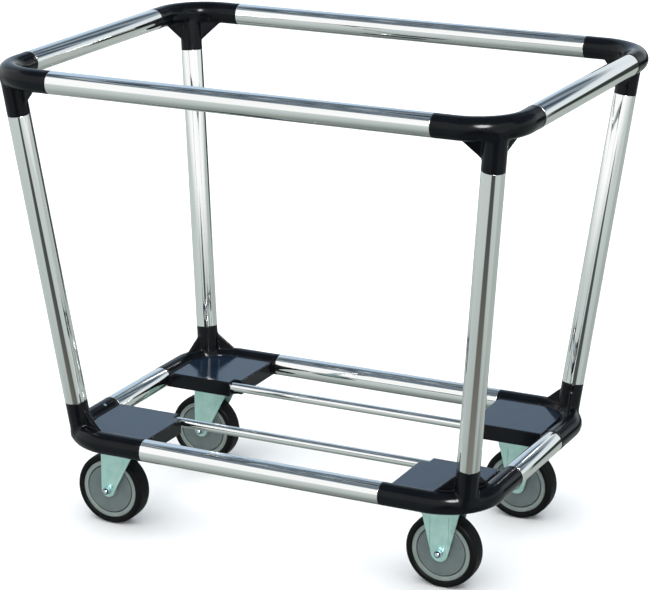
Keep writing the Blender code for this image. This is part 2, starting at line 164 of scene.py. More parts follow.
RIM = surface("grey_rim", ((0.175, 0.215, 0.200), (0.215, 0.255, 0.240)), (0.36, 0.50),
              colour_noise=(60, 4, (1, 1, 1)), grain=(500, (1, 1, 1), 0.06, 0.0002), specular=0.25)
DISC = surface("grey_disc", ((0.095, 0.125, 0.122), (0.120, 0.150, 0.148)), (0.34, 0.48),
               colour_noise=(45, 4, (1, 1, 1)), grain=(500, (1, 1, 1), 0.06, 0.0002), specular=0.3)
RUBBER = surface("black_tyre", ((0.0022, 0.0026, 0.0030), (0.0048, 0.0052, 0.0056)), (0.42, 0.60),
                 colour_noise=(50, 6, (1, 1, 1)), grain=(350, (1, 1, 1), 0.10, 0.0003), specular=0.09)
STEEL = surface("bright_fastener", ((0.50, 0.64, 0.70), (0.62, 0.76, 0.82)), (0.16, 0.30), 0.9,
                (90, 4, (1, 1, 1)), (160, 4, (1, 1, 1)), (600, (1, 1, 1), 0.06, 0.0002))


# ---- pieces -----------------------------------------------------------------------------

def piece(name, mesh, materials, body, replaced=(), place=None):
    """A finished piece: placed, riding on its body and standing for its CAD nodes."""
    obj = bpy.data.objects.new(name, mesh)
    bpy.context.scene.collection.objects.link(obj)
    if place is not None:
        obj.matrix_world = place
    if not mesh.materials:
        for material in materials:
            mesh.materials.append(material)
    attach(obj, body)
    if replaced:
        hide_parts(*replaced)
    return obj


def smooth(mesh, angle=35):
    mesh.shade_smooth()
    mesh.set_sharp_from_angle(angle=math.radians(angle))
    return mesh


def rounded(points, radius, steps=3, closed=False):
    """The outline with its corners turned into arcs of up to the given radius."""
    points = [Vector(point) for point in points]
    made = []
    for index, point in enumerate(points):
        if not closed and index in (0, len(points) - 1):
            made.append(point)
            continue
        before, after = points[index - 1] - point, points[(index + 1) % len(points)] - point
        turn = math.pi - before.angle(after)
        if turn < 0.05:
            made.append(point)
            continue
        cut = min(radius * math.tan(turn / 2), 0.45 * before.length, 0.45 * after.length)
        start, end = point + before.normalized() * cut, point + after.normalized() * cut
        for step in range(steps + 1):
            share = step / steps
            made.append(start * (1 - share) ** 2 + point * 2 * share * (1 - share) + end * share ** 2)
    return made


def lathe(name, profile, steps=96, corner=0.4 * MM):
    """A profile of (radius, height) points turned about Z; it closes on the axis or on itself."""
    on_axis = profile[0][0] == 0
    outline = rounded(profile, corner, closed=not on_axis)
    shape = bmesh.new()
    rows = []
    for point in outline:
        if point.x < 1e-7:
            rows.append([shape.verts.new((0, 0, point.y))] * steps)
            continue
        rows.append([shape.verts.new((point.x * math.cos(turn), point.x * math.sin(turn), point.y))
                     for turn in (2 * math.pi * step / steps for step in range(steps))])
    pairs = list(zip(rows, rows[1:])) + ([] if on_axis else [(rows[-1], rows[0])])
    for upper, lower in pairs:
        for step in range(steps):
            following = (step + 1) % steps
            corners = [upper[step], lower[step], lower[following], upper[following]]
            shape.faces.new(list(dict.fromkeys(corners)))
    bmesh.ops.recalc_face_normals(shape, faces=shape.faces)
    mesh = bpy.data.meshes.new(name)
    shape.to_mesh(mesh)
    shape.free()
    return smooth(mesh, 50)


def aim(location, direction):
    """A placement with local Z along the direction."""
    turn = Vector(direction).to_track_quat("Z", "Y").to_matrix().to_4x4()
    return Matrix.Translation(location) @ turn


def flip_to(sign_x, sign_y):
    return Matrix.Diagonal((sign_x, sign_y, 1, 1))


# ---- tubes ------------------------------------------------------------------------------

def bend_point(loop, angle):
    """A point of a corner's centreline in the +X +Y quarter, by angle from +X."""
    centre = loop["half"] - Vector((BEND_RADIUS, BEND_RADIUS))
    return Vector((centre.x + BEND_RADIUS * math.cos(angle),
                   centre.y + BEND_RADIUS * math.sin(angle), loop["z"]))


LEG_TOP, LEG_FOOT = bend_point(TOP, math.pi / 4), bend_point(BASE, math.pi / 4)
LEG_DOWN = (LEG_FOOT - LEG_TOP).normalized()


def tube_profile(half):
    """Outline of a plain tube, both ends and both walls."""
    wall = 1.2 * MM
    return [(TUBE_RADIUS, half), (TUBE_RADIUS, -half),
            (TUBE_RADIUS - wall, -half), (TUBE_RADIUS - wall, half)]


def make_tubes():
    for level in ("top", "base"):
        for side, along in (("front", 0), ("back", 0), ("left", 1), ("right", 1)):
            node = f"{level}_rail_{side}"
            mesh = lathe(node, tube_profile(extent(node)[along] / 2), corner=0.3 * MM)
            direction = (1, 0, 0) if along == 0 else (0, 1, 0)
            piece(f"tube_{node}", mesh, [POLISHED], "frame", [node],
                  aim(middle(node), direction))
    start = LEG_TOP + LEG_DOWN * TOP["socket"]
    end = LEG_FOOT - LEG_DOWN * BASE["socket"]
    for corner, (sign_x, sign_y) in CORNERS.items():
        mesh = lathe("leg", tube_profile((end - start).length / 2), corner=0.3 * MM)
        flip = flip_to(sign_x, sign_y)
        place = aim(flip @ ((start + end) / 2), flip.to_3x3() @ LEG_DOWN)
        piece(f"tube_leg_{corner}", mesh, [POLISHED], "frame", [f"leg_{corner}"], place)
    for side in ("front", "back"):
        node = f"base_rod_{side}"
        half, radius = extent(node).x / 2, extent(node).z / 2
        mesh = lathe(node, [(0, half), (radius, half), (radius, -half), (0, -half)], 64, 1 * MM)
        piece(f"bar_{node}", mesh, [POLISHED], "frame", [node], aim(middle(node), (1, 0, 0)))


# ---- moulded corner fittings ------------------------------------------------------------

SKIN_STEP = 1.6 * MM


def smooth_min(first, second, radius):
    """Union of two distances with a fillet of about the given radius."""
    share = np.clip(0.5 + 0.5 * (second - first) / radius, 0, 1)
    return second + (first - second) * share - radius * share * (1 - share)


def smooth_max(first, second, radius):
    return -smooth_min(-first, -second, radius)


def all_of(radius, *distances):
    """Where every distance is negative, with edges eased by the radius."""
    result = distances[0]
    for distance in distances[1:]:
        result = smooth_max(result, distance, radius)
    return result


def plan_distance(points, loop):
    """How far a point lies outside the loop's centreline, seen from above."""
    across = points[..., :2] - np.array(loop["half"] - Vector((BEND_RADIUS, BEND_RADIUS)))
    outer = np.hypot(np.maximum(across[..., 0], 0), np.maximum(across[..., 1], 0))
    return outer + np.minimum(across.max(-1), 0) - BEND_RADIUS


def elbow_distance(points, loop):
    bar = np.hypot(plan_distance(points, loop), points[..., 2] - loop["z"]) - TUBE_RADIUS
    return all_of(1.2 * MM, bar, loop["seam"].x - points[..., 0], loop["seam"].y - points[..., 1])


def socket_distance(points, loop, along):
    """The leg socket, from the middle of the bend to the leg's seam."""
    offset = points - np.array(bend_point(loop, math.pi / 4))
    run = offset @ np.array(along)
    bar = np.linalg.norm(offset - run[..., None] * np.array(along), axis=-1) - TUBE_RADIUS
    return all_of(1.2 * MM, bar, run - loop["socket"], -run)


def web_distance(points, loop, along, swap):
    """The triangular web from the socket to one arm, a flat blade with a sloping edge."""
    bend = BEND_RADIUS * math.pi / 4
    past = max(loop["run"] - bend, 0)
    angle = math.pi / 4 + min(loop["run"] / BEND_RADIUS, math.pi / 4) * (-1 if swap else 1)
    tip = bend_point(loop, angle) + (Vector((0, -past, 0)) if swap else Vector((-past, 0, 0)))
    root = bend_point(loop, math.pi / 4)
    across = (tip - root).normalized()
    normal = across.cross(along).normalized()
    rise = normal.cross(across)
    if rise.dot(along) < 0:
        rise = -rise
    reach = (tip - root).length
    height, lean = along.dot(rise) * loop["rise"], along.dot(across) * loop["rise"]
    slope = Vector((height, reach - lean)).normalized()
    offset = points - np.array(root)
    flat, up = offset @ np.array(across), offset @ np.array(rise)
    edge = (flat - reach) * slope.x + up * slope.y
    return all_of(1 * MM, np.abs(offset @ np.array(normal)) - 2.4 * MM, edge, -flat - 2 * MM, -up - 2 * MM)


def box_distance(points, low, high, radius=1 * MM):
    centre, half = (np.array(low) + np.array(high)) / 2, (np.array(high) - np.array(low)) / 2
    apart = np.abs(points - centre) - half
    return all_of(radius, apart[..., 0], apart[..., 1], apart[..., 2])


PLATFORM_TOP = 187 * MM
PLATFORM_BOTTOM = 160 * MM
PLATFORM_EDGE = Vector((226 * MM, 91.5 * MM))
NOTCH = Vector((241 * MM, 111 * MM))
APRON = 4 * MM
POCKET = Vector((355 * MM, 224 * MM))
PLATE_THICKNESS = 8 * MM
RIB = 1.5 * MM


def platform_distance(points):
    """The platform with its apron, hollow underside, ribs, caster pad and rod socket."""
    x, y, z = (points[..., axis] for axis in range(3))
    outline = all_of(2 * MM, PLATFORM_EDGE.x - x, PLATFORM_EDGE.y - y, plan_distance(points, BASE),
                     np.minimum(NOTCH.x - x, NOTCH.y - y))
    body = all_of(1.2 * MM, outline, z - PLATFORM_TOP, PLATFORM_BOTTOM - z)
    hollow = all_of(1.5 * MM, PLATFORM_EDGE.x + APRON - x, x - POCKET.x, PLATFORM_EDGE.y + APRON - y,
                    y - POCKET.y, np.minimum(NOTCH.x + APRON - x, NOTCH.y + APRON - y),
                    z - (PLATFORM_TOP - PLATE_THICKNESS))
    pad = extent("fixed_fork_front_right") / 2
    solid = box_distance(points, (CASTER_X - pad.x, CASTER_Y - pad.y, PLATFORM_BOTTOM),
                         (CASTER_X + pad.x, CASTER_Y + pad.y, PLATFORM_TOP - APRON))
    ribs = np.minimum.reduce([np.abs(x - CASTER_X + 30 * MM), np.abs(x - CASTER_X - 30 * MM),
                              np.abs(y - CASTER_Y + 22 * MM), np.abs(y - CASTER_Y - 22 * MM)]) - RIB
    ribs = all_of(1 * MM, ribs, PLATFORM_BOTTOM + APRON - z, z - PLATFORM_TOP + APRON)
    boss = box_distance(points, (NOTCH.x, PLATFORM_EDGE.y, PLATFORM_BOTTOM),
                        (NOTCH.x + 20 * MM, NOTCH.y + 2 * MM, PLATFORM_TOP - APRON))
    filled = np.minimum.reduce([solid, np.maximum(ribs, outline), boss])
    body = smooth_max(body, -smooth_max(hollow, -filled, 1 * MM), 1 * MM)
    groove = all_of(0.8 * MM, np.abs(plan_distance(points, BASE) + 18.2 * MM) - 2.3 * MM,
                    PLATFORM_TOP - 3.5 * MM - z)
    return smooth_max(body, -groove, 1 * MM)


def upper_distance(points):
    whole = smooth_min(elbow_distance(points, TOP), socket_distance(points, TOP, LEG_DOWN), 5 * MM)
    for swap in (False, True):
        whole = smooth_min(whole, web_distance(points, TOP, LEG_DOWN, swap), 2.5 * MM)
    return whole


def lower_distance(points):
    whole = smooth_min(elbow_distance(points, BASE), socket_distance(points, BASE, -LEG_DOWN), 5 * MM)
    for swap in (False, True):
        whole = smooth_min(whole, web_distance(points, BASE, -LEG_DOWN, swap), 2.5 * MM)
    return smooth_min(whole, platform_distance(points), 0.8 * MM)


def cell_vertices(value, low, step):
    """One vertex in each grid cell that the surface passes through, and the cells' numbers."""
    shape = tuple(size - 1 for size in value.shape)
    total, hits = np.zeros((*shape, 3)), np.zeros(shape)

    def at(corner):
        return value[tuple(slice(offset, offset + size) for offset, size in zip(corner, shape))]

    for axis in range(3):
        for first in (0, 1):
            for second in (0, 1):
                start = np.zeros(3, int)
                start[(axis + 1) % 3], start[(axis + 2) % 3] = first, second
                end = start.copy()
                end[axis] = 1
                before, after = at(start), at(end)
                crossed = (before < 0) != (after < 0)
                share = np.where(crossed, before / np.where(crossed, before - after, 1), 0)
                place = np.broadcast_to(start.astype(float), (*shape, 3)).copy()
                place[..., axis] += share
                total += place * crossed[..., None]
                hits += crossed
    used = hits > 0
    number = np.full(shape, -1)
    number[used] = np.arange(used.sum())
    cells = np.argwhere(used) + total[used] / hits[used][:, None]
    return np.array(low) + cells * step, number


def cell_faces(inside, number):
    """A quad round each grid edge that crosses the surface, facing out."""
    faces = []
    for axis in range(3):
        first, second = (axis + 1) % 3, (axis + 2) % 3
        near = np.moveaxis(inside, (axis, first, second), (0, 1, 2))
        cells = np.moveaxis(number, (axis, first, second), (0, 1, 2))
        crossed = (near[:-1] != near[1:])[:, 1:-1, 1:-1]
        place = np.argwhere(crossed)
        a, b, c = place.T
        quad = np.stack([cells[a, b, c], cells[a, b + 1, c], cells[a, b + 1, c + 1], cells[a, b, c + 1]], 1)
        outward = near[:-1][:, 1:-1, 1:-1][crossed]
        faces.append(np.where(outward[:, None], quad, quad[:, ::-1]))
    return np.concatenate(faces)


def skin(name, distance, low, high):
    """The surface where the distance is zero, as quads pulled exactly onto it."""
    step, nudge = SKIN_STEP, 0.05 * MM
    axes = [np.arange(start, end + step, step) for start, end in zip(low, high)]
    value = distance(np.stack(np.meshgrid(*axes, indexing="ij"), -1))
    points, number = cell_vertices(value, low, step)
    for _ in range(3):
        slope = np.stack([(distance(points + shift) - distance(points - shift)) / (2 * nudge)
                          for shift in np.eye(3) * nudge], -1)
        steepness = np.maximum((slope ** 2).sum(-1), 0.2)
        move = -(distance(points) / steepness)[:, None] * slope
        length = np.maximum(np.linalg.norm(move, axis=-1, keepdims=True), 1e-12)
        points = points + move * np.minimum(1, 0.5 * step / length)
    mesh = bpy.data.meshes.new(name)
    mesh.from_pydata(points.tolist(), [], cell_faces(value < 0, number).tolist())
    mesh.shade_smooth()
    return mesh


def mirrored(mesh, sign_x, sign_y):
    copy = mesh.copy()
    copy.transform(flip_to(sign_x, sign_y))
    if sign_x * sign_y < 0:
        copy.flip_normals()
    return copy


def satin_top_painted_sheen(mesh):
    """Give the platform's flat top its own satin finish and a colour lighter and bluer than the moulding,
    which is a painted sheen.
    """
    centres = np.array([face.center for face in mesh.polygons])
    inner = plan_distance(centres, BASE) < -(TUBE_RADIUS - 3.0 * MM)
    flat = np.abs(centres[:, 2] - PLATFORM_TOP) < 0.4 * MM
    mesh.materials.append(MOULDED)
    mesh.materials.append(PLATFORM)
    mesh.polygons.foreach_set("material_index", (inner & flat).astype(np.int32))


def collar_ring(radius, bead):
    """A fine raised ring round an arm, left by the mould's insert."""
    return [(radius + bead, 0), (radius, -bead), (radius - bead, 0), (radius, bead)]


def make_corners():
    margin = 2 * SKIN_STEP
    for level, loop, distance, spread in (("upper", TOP, upper_distance, (-75 * MM, TUBE_RADIUS)),
                                          ("lower", BASE, lower_distance, (-TUBE_RADIUS, 70 * MM))):
        low = (loop["seam"].x - margin, loop["seam"].y - margin, loop["z"] + spread[0] - margin)
        high = (loop["half"].x + TUBE_RADIUS + margin, loop["half"].y + TUBE_RADIUS + margin,
                loop["z"] + spread[1] + margin)
        mesh = skin(f"{level}_corner", distance, low, high)
        if level == "lower":
            satin_top_painted_sheen(mesh)
        for corner, (sign_x, sign_y) in CORNERS.items():
            node = f"{level}_corner_{corner}"
            piece(f"moulding_{node}", mirrored(mesh, sign_x, sign_y), [MOULDED], "frame",
                  [node])
            collars(f"{level}_{corner}", loop, sign_x, sign_y)


def collars(name, loop, sign_x, sign_y):
    """Two fine rings near the end of each arm."""
    ring = lathe("collar", collar_ring(TUBE_RADIUS, 0.25 * MM), 72, 0.05 * MM)
    for arm, axis in (("x", 0), ("y", 1)):
        for count, inset in enumerate((3.0 * MM, 6.5 * MM)):
            place = Vector((loop["half"].x, loop["half"].y, loop["z"]))
            place[axis] = loop["seam"][axis] + inset
            direction = (1, 0, 0) if axis == 0 else (0, 1, 0)
            piece(f"collar_{name}_{arm}{count}", ring, [MOULDED], "frame",
                  place=aim(flip_to(sign_x, sign_y) @ place, direction))


def make_screw():
    """The one small round-headed screw seen on the front left lower fitting."""
    centre = Vector((-BASE["half"].x + 8.5 * MM, -BASE["seam"].y - 35 * MM, 0))
    lean = math.asin(8.5 * MM / TUBE_RADIUS)
    centre.z = BASE["z"] + TUBE_RADIUS * math.cos(lean)
    head = [(0, 1.0 * MM), (1.6 * MM, 0.9 * MM), (2.8 * MM, 0.2 * MM), (2.9 * MM, -0.6 * MM), (0, -0.6 * MM)]
    piece("screw_lower_front_left", lathe("screw", head, 40, 0.2 * MM), [STEEL], "frame",
          place=aim(centre, (math.sin(lean), 0, math.cos(lean))))


make_tubes()
make_corners()
make_screw()


# ---- casters ----------------------------------------------------------------------------

def working(data):
    obj = bpy.data.objects.new("working", data)
    bpy.context.scene.collection.objects.link(obj)
    return obj


def finished(obj):
    """The evaluated shape as a welded mesh; the working object is removed."""
    bpy.context.view_layer.update()
    evaluated = obj.evaluated_get(bpy.context.evaluated_depsgraph_get())
    mesh = bpy.data.meshes.new_from_object(evaluated)
    mesh.transform(obj.matrix_world)
    shape = bmesh.new()
    shape.from_mesh(mesh)
    bmesh.ops.remove_doubles(shape, verts=shape.verts, dist=0.01 * MM)
    bmesh.ops.recalc_face_normals(shape, faces=shape.faces)
    shape.to_mesh(mesh)
    shape.free()
    bpy.data.objects.remove(obj)
    return mesh


def slab(outline, thickness, place=None):
    """A flat outline given thickness evenly to both sides of its plane, then placed."""
    curve = bpy.data.curves.new("outline", "CURVE")
    curve.dimensions = "2D"
    curve.fill_mode = "BOTH"
    curve.extrude = thickness / 2
    spline = curve.splines.new("POLY")
    spline.points.add(len(outline) - 1)
    spline.use_cyclic_u = True
    for point, (x, y) in zip(spline.points, outline):
        point.co = (x, y, 0, 1)
    obj = working(curve)
    obj.matrix_world = place or Matrix.Identity(4)
    return working(finished(obj))


def prism(start, end, radius, segments=48):
    start, end = Vector(start), Vector(end)
    shape = bmesh.new()
    bmesh.ops.create_cone(shape, cap_ends=True, segments=segments, radius1=radius, radius2=radius,
                          depth=(end - start).length)
    bmesh.ops.transform(shape, matrix=aim((start + end) / 2, end - start), verts=shape.verts)
    mesh = bpy.data.meshes.new("prism")
    shape.to_mesh(mesh)
    shape.free()
    return working(mesh)


def combine(base, changes, edge=0.5 * MM):
    """Apply (operation, tool) pairs in turn, then ease the edges."""
    for operation, tool in changes:
        boolean = base.modifiers.new(operation.title(), "BOOLEAN")
        boolean.operation = operation
        boolean.object = tool
    base = working(finished(base))
    for _, tool in changes:
        bpy.data.objects.remove(tool)
    if edge:
        bevel = base.modifiers.new("Edges", "BEVEL")
        bevel.width = edge
        bevel.segments = 2
        bevel.limit_method = "ANGLE"
        bevel.angle_limit = math.radians(40)
    return smooth(finished(base), 30)


SHEET = 2.8 * MM
CHEEK_INNER = 19 * MM
CHEEK_OUTER = CHEEK_INNER + SHEET
FORK_BEND = 6 * MM
SWIVEL_BOSS = 12 * MM
FIXED_BOSS = 15 * MM
FORK_EDGE = 127 * MM
ALONG_X = Matrix(((0, 0, 1, 0), (1, 0, 0, 0), (0, 1, 0, 0), (0, 0, 0, 1)))
ALONG_Y = Matrix(((1, 0, 0, 0), (0, 0, -1, 0), (0, 1, 0, 0), (0, 0, 0, 1)))


def cheek_outline(axle_x, boss, left, right, top, steps=20):
    """Side outline of a fork: a round boss at the axle and two straight edges up to the top."""
    centre = Vector((axle_x, AXLE_Z))
    ends = []
    for point, side in ((left, 1), (right, -1)):
        offset = Vector(point) - centre
        angle = math.atan2(offset.y, offset.x) + side * math.acos(boss / offset.length)
        touch = centre + boss * Vector((math.cos(angle), math.sin(angle)))
        edge = Vector(point) - touch
        ends.append((angle, touch + edge * (top - touch.y) / edge.y))
    (start, top_left), (stop, top_right) = ends
    turn = (stop - start) % (2 * math.pi)
    angles = [start + turn * step / steps for step in range(steps + 1)]
    arc = [centre + boss * Vector((math.cos(angle), math.sin(angle))) for angle in angles]
    return [top_left, *arc, top_right]


def channel_outline(top, steps=8):
    """Front outline of a fork: a sheet bent down on both sides of the wheel."""
    sheet = []
    for half, height, radius in ((CHEEK_OUTER, top, FORK_BEND),
                                 (CHEEK_INNER, top - SHEET, FORK_BEND - SHEET)):
        bend = [(half - radius + radius * math.sin(turn), height - radius + radius * math.cos(turn))
                for turn in (math.pi / 2 * step / steps for step in range(steps + 1))]
        rising = [(half, 0), *reversed(bend)]
        sheet.append(rising + [(-y, z) for y, z in reversed(rising)])
    return sheet[0] + sheet[1][::-1]


def bore(start, end, radius):
    return ("DIFFERENCE", prism(start, end, radius))


def axle_bore(x):
    return bore((x, -3 * CHEEK_OUTER, AXLE_Z), (x, 3 * CHEEK_OUTER, AXLE_Z), 4.3 * MM)


def plate_with_slots(top):
    """The pressed top plate with rounded corners and four bolt slots, and its bores."""
    half = extent("fixed_fork_front_right") / 2
    corners = [(-half.x, -half.y), (half.x, -half.y), (half.x, half.y), (-half.x, half.y)]
    outline = rounded([Vector(corner) for corner in corners], 7 * MM, 8, closed=True)
    plate = slab(outline, SHEET, Matrix.Translation((0, 0, top - SHEET / 2)))
    bores = [bore((sign_x * 40 * MM, sign_y * 30 * MM, top - 2 * SHEET),
                  (sign_x * 40 * MM, sign_y * 30 * MM, top + 2 * SHEET), 4.5 * MM)
             for sign_x, sign_y in CORNERS.values()]
    return plate, bores


def folded_edges(x, depth):
    """Wedges that lean the outer strips of both cheeks back, each behind an upright groove."""
    cuts = []
    for way in (-1, 1):
        for side in (-1, 1):
            face, inside = side * (CHEEK_OUTER + 0.01 * MM), side * (CHEEK_OUTER - depth)
            outline = [(way * (x - depth), face), (way * 3 * x, face),
                       (way * 3 * x, face - side * 3.2 * depth),
                       (way * (x + depth), face - side * 0.3 * depth), (way * x, inside)]
            cuts.append(("DIFFERENCE", slab(outline, 4 * WHEEL_RADIUS)))
    return cuts


def fixed_fork():
    edge, top = 31.8 * MM, PLATE_TOP
    channel = slab(channel_outline(top), 4 * WHEEL_RADIUS, ALONG_X)
    trim = slab(cheek_outline(0, FIXED_BOSS, (-edge, FORK_EDGE), (edge, FORK_EDGE), top + MM),
                4 * WHEEL_RADIUS, ALONG_Y)
    plate, bores = plate_with_slots(top)
    creases = folded_edges(16.5 * MM, 1.0 * MM)
    return combine(channel, [("INTERSECT", trim), *creases, ("UNION", plate), *bores, axle_bore(0)])


def swivel_fork():
    top = CROWN_TOP
    channel = slab(channel_outline(top), 4 * WHEEL_RADIUS, ALONG_X)
    trim = slab(cheek_outline(-TRAIL, SWIVEL_BOSS, (-TRAIL - SWIVEL_BOSS, FORK_EDGE), (10 * MM, FORK_EDGE),
                              top + MM), 4 * WHEEL_RADIUS, ALONG_Y)
    crown = prism((0, 0, top - SHEET), (0, 0, top), 29 * MM, 96)
    pin = bore((0, 0, top - 4 * SHEET), (0, 0, top + 2 * SHEET), 6.3 * MM)
    spot = Vector((-TRAIL + 9.5 * MM, AXLE_Z + 8 * MM))
    hole = bore((spot.x, -3 * CHEEK_OUTER, spot.y), (spot.x, 3 * CHEEK_OUTER, spot.y), 1.6 * MM)
    return combine(channel, [("INTERSECT", trim), ("UNION", crown), pin, axle_bore(-TRAIL), hole])


def hex_head(name, radius, height, hole=0.0):
    """A hexagon with its corners chamfered at its top face, bored if it is a nut."""
    hexagon = prism((0, 0, 0), (0, 0, height), radius, 6)
    chamfer = 0.35 * height
    turned = lathe("chamfer", [(0, height), (0.87 * radius, height), (1.02 * radius, height - chamfer),
                               (1.02 * radius, 0), (0, 0)], 48, 0.1 * MM)
    changes = [("INTERSECT", working(turned))]
    if hole:
        changes.append(bore((0, 0, -height), (0, 0, 2 * height), hole))
    mesh = combine(hexagon, changes, 0.15 * MM)
    mesh.name = name
    return mesh


def axle_bolt_profile(face):
    """Bolt along +Z from its threaded tip to its head's underside."""
    shank = 4 * MM
    tip = -(face + 8 * MM + 1.5 * MM)
    threads = [(shank - (0.35 * MM if step % 2 else 0), tip + 0.8 * MM + step * 0.6 * MM)
               for step in range(16)]
    return [(0, face), (shank, face), (shank, threads[-1][1] + MM), *reversed(threads),
            (shank - 0.8 * MM, tip), (0, tip)]


def tyre_profile(rim):
    """Tyre with a slightly crowned tread, rounded shoulders and a bead line on each side."""
    shoulder, crown = 6.0 * MM, 0.5 * MM
    centre = Vector((WHEEL_RADIUS - crown - shoulder, TYRE_HALF - shoulder))
    side = [Vector((rim, TYRE_HALF - 1.2 * MM)), Vector((rim + 1.2 * MM, TYRE_HALF - 0.2 * MM)),
            Vector((rim + 2.6 * MM, TYRE_HALF))]
    side += [centre + shoulder * Vector((math.sin(turn), math.cos(turn)))
             for turn in (math.pi / 2 * step / 10 for step in range(11))]
    side.append(Vector((WHEEL_RADIUS, 0)))
    return [tuple(point) for point in side] + [(point.x, -point.y) for point in reversed(side[:-1])]


def core_profile(rim, inner, hub):
    """Rim, web and hub of a wheel, with the edges of the rim chamfered."""
    half, web, length = 14.5 * MM, 4 * MM, 17.5 * MM
    upper = [(6.3 * MM, length), (hub - 2 * MM, length), (hub, length - 1.5 * MM), (hub, web), (inner, web),
             (inner, half - 0.8 * MM), (inner + 1.0 * MM, half), (rim - 1.2 * MM, half),
             (rim, half - 0.8 * MM)]
    return upper + [(radius, -height) for radius, height in reversed(upper)]


def disc_profile(inner, outer):
    """Cover disc: a flat face that dips a little towards its rim groove."""
    face, back = 14.5 * MM, 11.5 * MM
    turned = []
    for step in range(11):
        share = step / 10
        radius = inner + 5 * MM + (outer - inner - 8.5 * MM) * share
        turned += [(radius, face - 0.55 * MM), (radius + 1.0 * MM, face - 0.40 * MM)]
    return [(inner, face), (inner + 3 * MM, face), *turned, (outer - 1.4 * MM, face - 0.2 * MM),
            (outer - 0.4 * MM, face - 0.9 * MM), (outer, back), (inner, back)]


def make_wheel(corner, body):
    rim, inner, hub = 51.9 * MM, 43.9 * MM, 13.9 * MM
    centre = middle(f"tyre_{corner}")
    place = aim(centre, (0, -1, 0))
    piece(f"tread_{corner}", lathe("tyre", tyre_profile(rim + 0.1 * MM), 128), [RUBBER], body,
          [f"tyre_{corner}"], place)
    piece(f"rim_{corner}", lathe("rim", core_profile(rim, inner, hub), 128), [RIM], body,
          [f"wheel_core_{corner}"], place)
    for face, way in (("front", -1), ("rear", 1)):
        cover = lathe("cover", disc_profile(hub + 0.3 * MM, inner - 1.3 * MM), 128)
        piece(f"cover_{face}_{corner}", cover, [DISC], body, [f"{face}_disc_{corner}"],
              aim(centre, (0, way, 0)))


def make_axle(corner, body):
    centre = middle(f"tyre_{corner}")
    face = CHEEK_OUTER + 0.3 * MM
    place = aim(centre, (0, 1, 0))
    hexagon, head_height, nut_height, nut_bore = 7.5 * MM, 5.3 * MM, 6.6 * MM, 4.05 * MM
    collar_outer, collar_height = 5.4 * MM, 1.3 * MM
    piece(f"bolt_{corner}", lathe("bolt", axle_bolt_profile(face), 48, 0.05 * MM), [STEEL], body,
          [f"axle_bolt_{corner}"], place)
    piece(f"bolt_head_{corner}", hex_head("head", hexagon, head_height), [STEEL], body,
          place=aim(centre + Vector((0, face, 0)), (0, 1, 0)))
    piece(f"nut_{corner}", hex_head("nut", hexagon, nut_height, nut_bore), [STEEL], body,
          [f"axle_nut_{corner}"], aim(centre - Vector((0, face, 0)), (0, -1, 0)))
    collar = [(collar_outer, collar_height), (collar_outer, 0), (nut_bore, 0), (nut_bore, collar_height)]
    piece(f"nut_collar_{corner}", lathe("nut_collar", collar, 48, 0.3 * MM), [MOULDED], body,
          place=aim(centre - Vector((0, face + nut_height, 0)), (0, -1, 0)))
    half = CHEEK_INNER - 0.3 * MM
    sleeve = [(6 * MM, half), (6 * MM, -half), (4.3 * MM, -half), (4.3 * MM, half)]
    piece(f"sleeve_{corner}", lathe("sleeve", sleeve, 48, 0.3 * MM), [STEEL], body,
          [f"axle_sleeve_{corner}"], place)


def make_plate_bolts(corner, centre):
    """Four hexagon bolts with washers up through a caster's plate."""
    for count, (sign_x, sign_y) in enumerate(CORNERS.values()):
        spot = Vector((centre.x + sign_x * 40 * MM, centre.y + sign_y * 30 * MM, PLATE_TOP - SHEET))
        outer, hole, thick = 8 * MM, 4.2 * MM, 1.4 * MM
        washer = [(outer, 0), (outer, -thick), (hole, -thick), (hole, 0)]
        piece(f"washer_{corner}_{count}", lathe("washer", washer, 40, 0.3 * MM), [STEEL], "frame",
              place=Matrix.Translation(spot))
        piece(f"plate_bolt_{corner}_{count}", hex_head("plate_bolt", 7 * MM, 5 * MM), [STEEL], "frame",
              place=aim(spot - Vector((0, 0, thick)), (0, 0, -1)))


def make_swivel_head(corner, centre):
    plate, bores = plate_with_slots(PLATE_TOP)
    pin_bore = bore((0, 0, PLATE_TOP - 2 * SHEET), (0, 0, PLATE_TOP + 2 * SHEET), 6.3 * MM)
    piece(f"plate_{corner}", combine(plate, [*bores, pin_bore]), [ZINC], "frame",
          [f"swivel_plate_{corner}"], Matrix.Translation((centre.x, centre.y, 0)))
    low, high = (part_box(f"swivel_race_{corner}")[end][2] for end in (0, 1))
    race = [(25 * MM, high), (26 * MM, high - 1.5 * MM), (25.2 * MM, low + 2.4 * MM),
            (23.5 * MM, low + 2 * MM), (25.6 * MM, low + 1.4 * MM), (25.6 * MM, low),
            (6.3 * MM, low), (6.3 * MM, high)]
    piece(f"race_{corner}", lathe("race", race, 96), [ZINC], "frame", [f"swivel_race_{corner}"],
          Matrix.Translation((centre.x, centre.y, 0)))
    low, high = (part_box(f"king_pin_{corner}")[end][2] for end in (0, 1))
    head = CROWN_TOP - SHEET - 0.3 * MM
    pin = [(0, high), (6 * MM, high), (6 * MM, head), (9 * MM, head), (9 * MM, head - 1.5 * MM),
           (7.5 * MM, low + 0.8 * MM), (4 * MM, low), (0, low)]
    piece(f"pin_{corner}", lathe("king_pin", pin, 64), [STEEL], "frame", [f"king_pin_{corner}"],
          Matrix.Translation((centre.x, centre.y, 0)))


